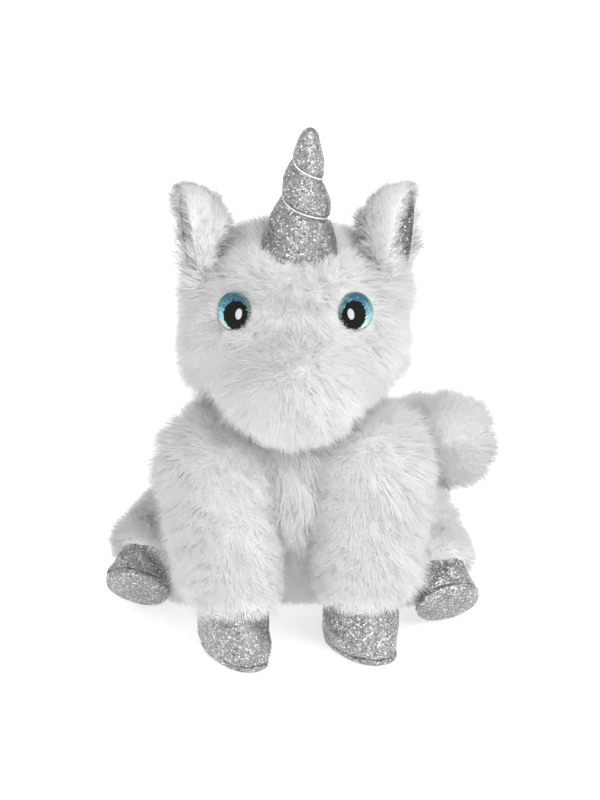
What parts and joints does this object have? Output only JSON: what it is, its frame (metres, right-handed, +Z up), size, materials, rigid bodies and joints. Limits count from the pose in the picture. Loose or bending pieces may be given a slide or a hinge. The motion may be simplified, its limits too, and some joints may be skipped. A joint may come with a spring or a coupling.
{
  "type": "plush unicorn",
  "caption": "Sitting long-pile plush unicorn with a stuffed spiral horn, glitter-cloth hooves and ear linings, embroidered eyes, and limbs, head, ears and tail that flex at their seams.",
  "frame": {"origin": "centre of the flat base panel under the rump, on the surface that the toy sits on", "axes": "+Z up through the head, -Y the way the toy faces, +X the toy's own left"},
  "size_m": [0.1825, 0.181, 0.2538],
  "materials": {
    "white_plush": "long soft pile",
    "silver_glitter": "glitter-coated cloth",
    "stuffing": "loose polyester fill",
    "lining_cloth": "plain woven",
    "pellets": "matte",
    "white_thread": "spun thread",
    "iris_teal": "metallic embroidery",
    "pupil_black": "satin embroidery",
    "highlight_white": "satin embroidery"
  },
  "bodies": {
    "torso": {"torso_panel_left": "white_plush", "torso_panel_right": "white_plush", "base_panel": "white_plush", "torso_stuffing": "stuffing", "bean_pouch": "lining_cloth", "bean_pellets": "pellets", "closing_stitches": "white_thread"},
    "neck": {"neck_stuffing": "stuffing", "neck_seam_thread": "white_thread"},
    "head": {"head_panel_left": "white_plush", "head_panel_right": "white_plush", "head_gusset": "white_plush", "head_stuffing": "stuffing", "eye_iris_left": "iris_teal", "eye_pupil_left": "pupil_black", "eye_highlight_left": "highlight_white", "eye_iris_right": "iris_teal", "eye_pupil_right": "pupil_black", "eye_highlight_right": "highlight_white"},
    "horn": {"horn_cover": "silver_glitter", "horn_stuffing": "stuffing", "horn_thread": "white_thread"},
    "ear_left": {"ear_back_left": "white_plush", "ear_lining_left": "silver_glitter"},
    "ear_right": {"ear_back_right": "white_plush", "ear_lining_right": "silver_glitter"},
    "front_leg_left": {"front_leg_left_sleeve": "white_plush", "front_leg_left_stuffing": "stuffing", "front_hoof_left_upper": "silver_glitter", "front_hoof_left_sole": "silver_glitter", "front_hoof_left_stuffing": "stuffing"},
    "hind_leg_left": {"hind_leg_left_sleeve": "white_plush", "hind_leg_left_stuffing": "stuffing", "hind_hoof_left_upper": "silver_glitter", "hind_hoof_left_sole": "silver_glitter", "hind_hoof_left_stuffing": "stuffing"},
    "front_leg_right": {"front_leg_right_sleeve": "white_plush", "front_leg_right_stuffing": "stuffing", "front_hoof_right_upper": "silver_glitter", "front_hoof_right_sole": "silver_glitter", "front_hoof_right_stuffing": "stuffing"},
    "hind_leg_right": {"hind_leg_right_sleeve": "white_plush", "hind_leg_right_stuffing": "stuffing", "hind_hoof_right_upper": "silver_glitter", "hind_hoof_right_sole": "silver_glitter", "hind_hoof_right_stuffing": "stuffing"},
    "tail": {"tail_cover": "white_plush", "tail_stuffing": "stuffing"}
  },
  "joints": [
    {"name": "head_turn", "type": "hinge", "parent": "torso", "child": "neck", "pos_m": [0, -0.048, 0.122], "axis": [0, 0, 1], "range_deg": [-20, 20], "stiffness_Nm_per_rad": 0.3},
    {"name": "head_nod", "type": "hinge", "parent": "neck", "child": "head", "pos_m": [0, -0.048, 0.122], "axis": [1, 0, 0], "range_deg": [-15, 8], "stiffness_Nm_per_rad": 0.6},
    {"name": "horn_lean", "type": "hinge", "parent": "head", "child": "horn", "pos_m": [0.002, -0.056, 0.192], "axis": [0, 1, 0], "range_deg": [-10, 10], "stiffness_Nm_per_rad": 0.05},
    {"name": "ear_left_flop", "type": "hinge", "parent": "head", "child": "ear_left", "pos_m": [0.048, -0.05, 0.179], "axis": [0.3742, 0.9262, -0.0459], "range_deg": [-25, 25], "stiffness_Nm_per_rad": 0.02},
    {"name": "ear_right_flop", "type": "hinge", "parent": "head", "child": "ear_right", "pos_m": [-0.048, -0.05, 0.179], "axis": [0.2078, -0.9778, 0.0255], "range_deg": [-25, 25], "stiffness_Nm_per_rad": 0.02},
    {"name": "front_leg_left_swing", "type": "hinge", "parent": "torso", "child": "front_leg_left", "pos_m": [0.034, -0.068, 0.092], "axis": [1, 0, 0], "range_deg": [-45, 4], "stiffness_Nm_per_rad": 0.15},
    {"name": "front_leg_right_swing", "type": "hinge", "parent": "torso", "child": "front_leg_right", "pos_m": [-0.034, -0.068, 0.092], "axis": [1, 0, 0], "range_deg": [-45, 4], "stiffness_Nm_per_rad": 0.15},
    {"name": "hind_leg_left_splay", "type": "hinge", "parent": "torso", "child": "hind_leg_left", "pos_m": [0.048, -0.012, 0.027], "axis": [0, 0, 1], "range_deg": [-15, 25], "stiffness_Nm_per_rad": 0.15},
    {"name": "hind_leg_right_splay", "type": "hinge", "parent": "torso", "child": "hind_leg_right", "pos_m": [-0.048, -0.012, 0.027], "axis": [0, 0, 1], "range_deg": [-25, 15], "stiffness_Nm_per_rad": 0.15},
    {"name": "tail_wag", "type": "hinge", "parent": "torso", "child": "tail", "pos_m": [0, 0.038, 0.045], "axis": [0, 0, 1], "range_deg": [-8, 45], "stiffness_Nm_per_rad": 0.06}
  ]
}
